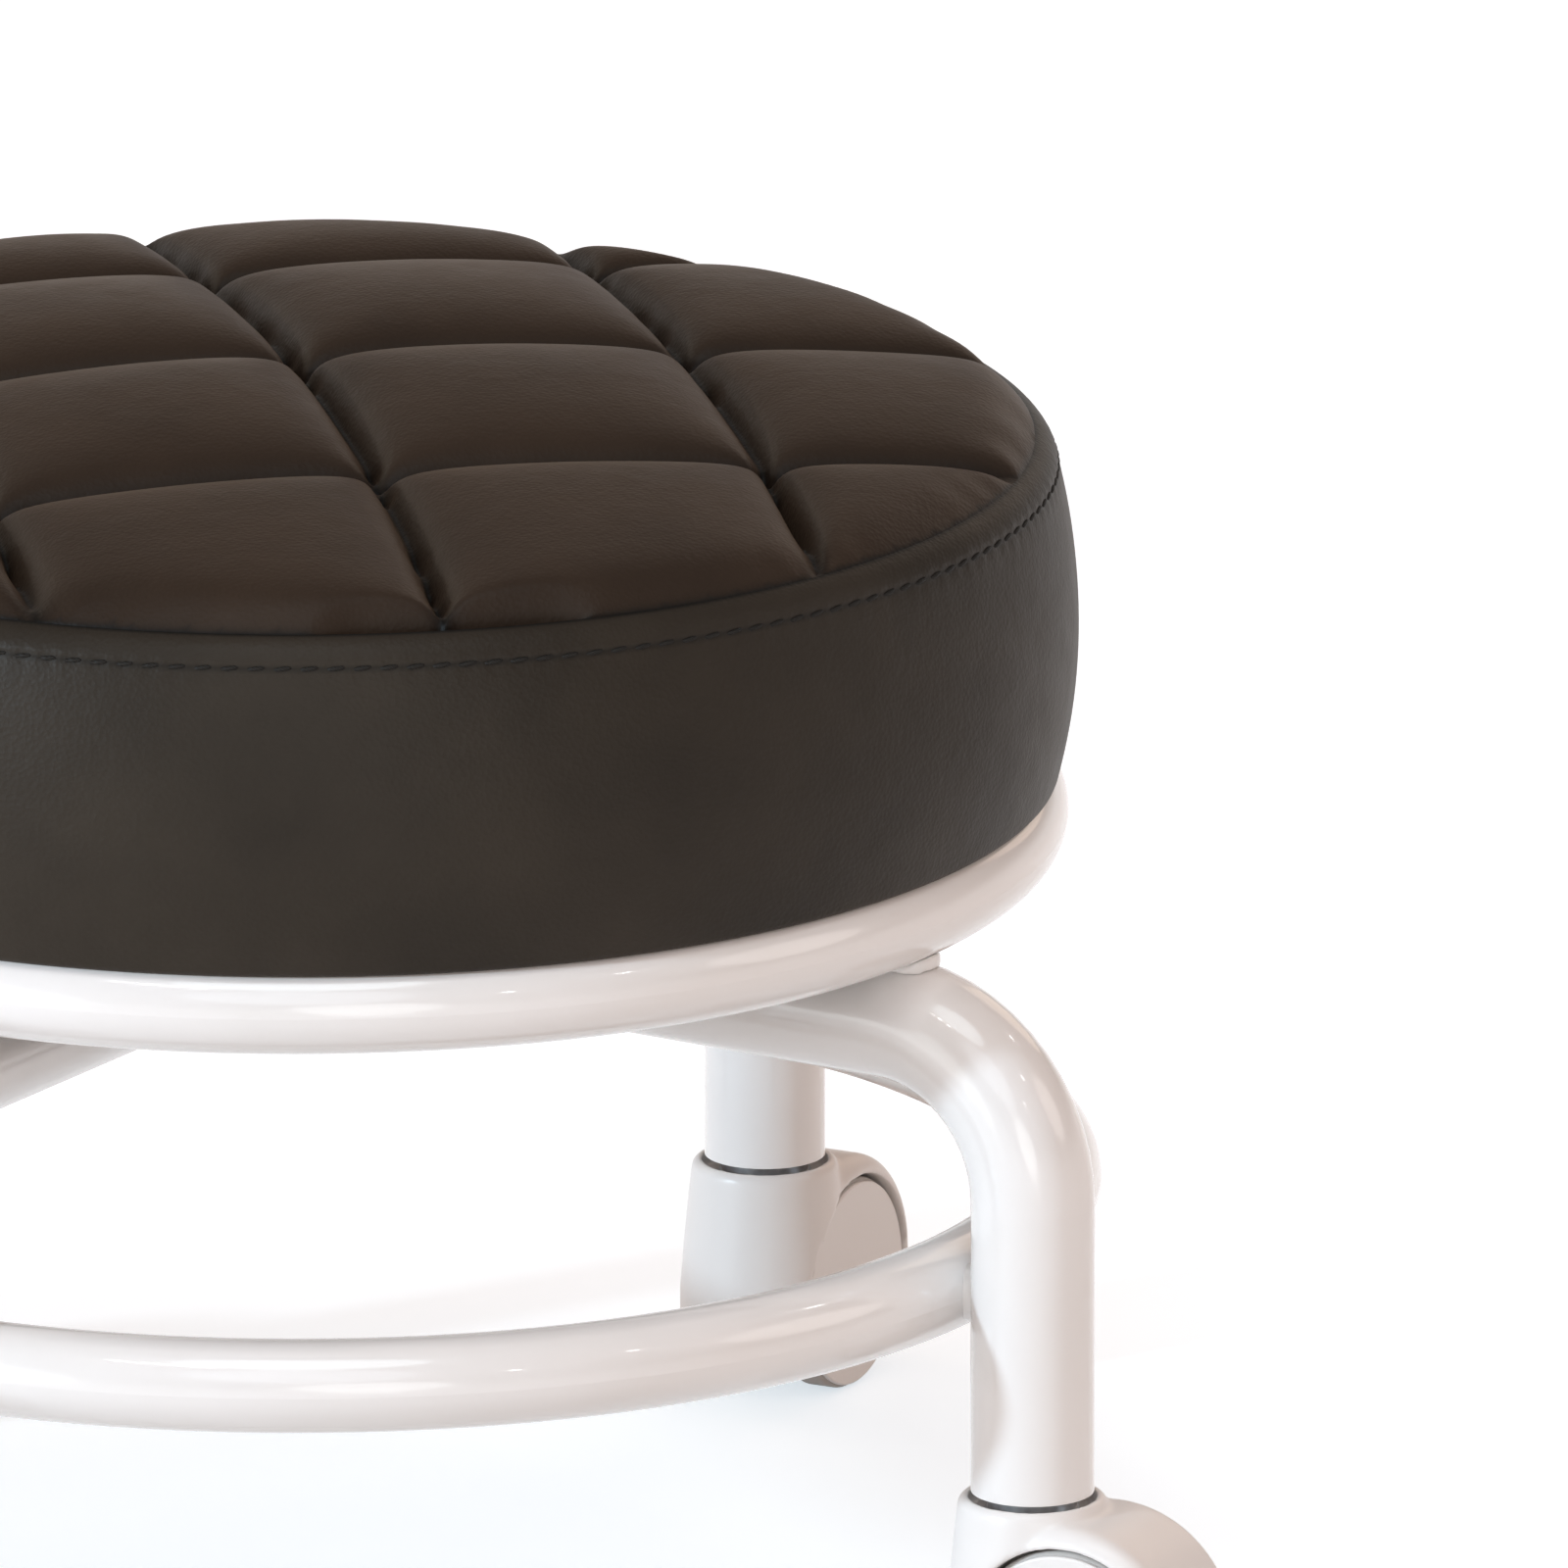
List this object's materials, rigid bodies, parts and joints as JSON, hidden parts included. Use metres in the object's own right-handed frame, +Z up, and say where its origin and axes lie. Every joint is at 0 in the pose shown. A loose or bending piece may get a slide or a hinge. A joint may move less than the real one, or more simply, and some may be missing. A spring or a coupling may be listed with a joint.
{
  "type": "low rolling stool",
  "caption": "Low round stool with a quilted leather cushion on a white bent-tube frame with a foot ring, rolling on hooded twin-wheel swivel casters.",
  "frame": {"origin": "on the floor, straight under the middle of the seat", "axes": "+Z up; the legs stand on the diagonals between the X and Y axes and the quilting runs along X and Y"},
  "size_m": [0.3248, 0.3248, 0.2652],
  "materials": {
    "frame_paint": "gloss",
    "zinc_steel": "satin",
    "caster_plastic": "satin",
    "wheel_plastic": "satin",
    "tread_rubber": "matte",
    "insert_plastic": "matte",
    "plywood": "matte",
    "lining_cloth": "matte",
    "seat_foam": "matte",
    "cushion_leather": "satin"
  },
  "bodies": {
    "frame": {"main_leg_tube": "frame_paint", "back_right_leg_tube": "frame_paint", "front_left_leg_tube": "frame_paint", "seat_ring": "frame_paint", "foot_ring": "frame_paint", "foot_ring_welds": "frame_paint", "seat_ring_welds": "frame_paint", "back_right_cross_weld": "frame_paint", "front_left_cross_weld": "frame_paint", "seat_lugs": "frame_paint", "seat_screws": "zinc_steel", "seat_board": "plywood", "tee_nuts": "zinc_steel", "base_lining": "lining_cloth", "cover_staples": "zinc_steel", "seat_foam": "seat_foam", "cover_band": "cushion_leather", "quilted_panel": "cushion_leather", "front_right_leg_insert": "insert_plastic", "front_right_stem": "zinc_steel", "front_right_thrust_washer": "zinc_steel", "front_right_stem_clip": "zinc_steel", "back_right_leg_insert": "insert_plastic", "back_right_stem": "zinc_steel", "back_right_thrust_washer": "zinc_steel", "back_right_stem_clip": "zinc_steel", "back_left_leg_insert": "insert_plastic", "back_left_stem": "zinc_steel", "back_left_thrust_washer": "zinc_steel", "back_left_stem_clip": "zinc_steel", "front_left_leg_insert": "insert_plastic", "front_left_stem": "zinc_steel", "front_left_thrust_washer": "zinc_steel", "front_left_stem_clip": "zinc_steel"},
    "front_right_caster": {"front_right_caster_housing": "caster_plastic", "front_right_axle": "zinc_steel"},
    "front_right_left_roller": {"front_right_left_wheel": "wheel_plastic", "front_right_left_tyre": "tread_rubber"},
    "front_right_right_roller": {"front_right_right_wheel": "wheel_plastic", "front_right_right_tyre": "tread_rubber"},
    "back_right_caster": {"back_right_caster_housing": "caster_plastic", "back_right_axle": "zinc_steel"},
    "back_right_left_roller": {"back_right_left_wheel": "wheel_plastic", "back_right_left_tyre": "tread_rubber"},
    "back_right_right_roller": {"back_right_right_wheel": "wheel_plastic", "back_right_right_tyre": "tread_rubber"},
    "back_left_caster": {"back_left_caster_housing": "caster_plastic", "back_left_axle": "zinc_steel"},
    "back_left_left_roller": {"back_left_left_wheel": "wheel_plastic", "back_left_left_tyre": "tread_rubber"},
    "back_left_right_roller": {"back_left_right_wheel": "wheel_plastic", "back_left_right_tyre": "tread_rubber"},
    "front_left_caster": {"front_left_caster_housing": "caster_plastic", "front_left_axle": "zinc_steel"},
    "front_left_left_roller": {"front_left_left_wheel": "wheel_plastic", "front_left_left_tyre": "tread_rubber"},
    "front_left_right_roller": {"front_left_right_wheel": "wheel_plastic", "front_left_right_tyre": "tread_rubber"}
  },
  "joints": [
    {"name": "front_right_swivel", "type": "hinge", "parent": "frame", "child": "front_right_caster", "pos_m": [0.12374, -0.12374, 0.048], "axis": [0, 0, 1], "continuous": true},
    {"name": "front_right_left_spin", "type": "hinge", "parent": "front_right_caster", "child": "front_right_left_roller", "pos_m": [0.13462, -0.13255, 0.022], "axis": [0.6293, 0.7771, 0], "continuous": true},
    {"name": "front_right_right_spin", "type": "hinge", "parent": "front_right_caster", "child": "front_right_right_roller", "pos_m": [0.13462, -0.13255, 0.022], "axis": [0.6293, 0.7771, 0], "continuous": true},
    {"name": "back_right_swivel", "type": "hinge", "parent": "frame", "child": "back_right_caster", "pos_m": [0.12374, 0.12374, 0.048], "axis": [0, 0, 1], "continuous": true},
    {"name": "back_right_left_spin", "type": "hinge", "parent": "back_right_caster", "child": "back_right_left_roller", "pos_m": [0.13255, 0.13462, 0.022], "axis": [-0.7771, 0.6293, 0], "continuous": true},
    {"name": "back_right_right_spin", "type": "hinge", "parent": "back_right_caster", "child": "back_right_right_roller", "pos_m": [0.13255, 0.13462, 0.022], "axis": [-0.7771, 0.6293, 0], "continuous": true},
    {"name": "back_left_swivel", "type": "hinge", "parent": "frame", "child": "back_left_caster", "pos_m": [-0.12374, 0.12374, 0.048], "axis": [0, 0, 1], "continuous": true},
    {"name": "back_left_left_spin", "type": "hinge", "parent": "back_left_caster", "child": "back_left_left_roller", "pos_m": [-0.13462, 0.13255, 0.022], "axis": [-0.6293, -0.7771, 0], "continuous": true},
    {"name": "back_left_right_spin", "type": "hinge", "parent": "back_left_caster", "child": "back_left_right_roller", "pos_m": [-0.13462, 0.13255, 0.022], "axis": [-0.6293, -0.7771, 0], "continuous": true},
    {"name": "front_left_swivel", "type": "hinge", "parent": "frame", "child": "front_left_caster", "pos_m": [-0.12374, -0.12374, 0.048], "axis": [0, 0, 1], "continuous": true},
    {"name": "front_left_left_spin", "type": "hinge", "parent": "front_left_caster", "child": "front_left_left_roller", "pos_m": [-0.13255, -0.13462, 0.022], "axis": [0.7771, -0.6293, 0], "continuous": true},
    {"name": "front_left_right_spin", "type": "hinge", "parent": "front_left_caster", "child": "front_left_right_roller", "pos_m": [-0.13255, -0.13462, 0.022], "axis": [0.7771, -0.6293, 0], "continuous": true}
  ]
}
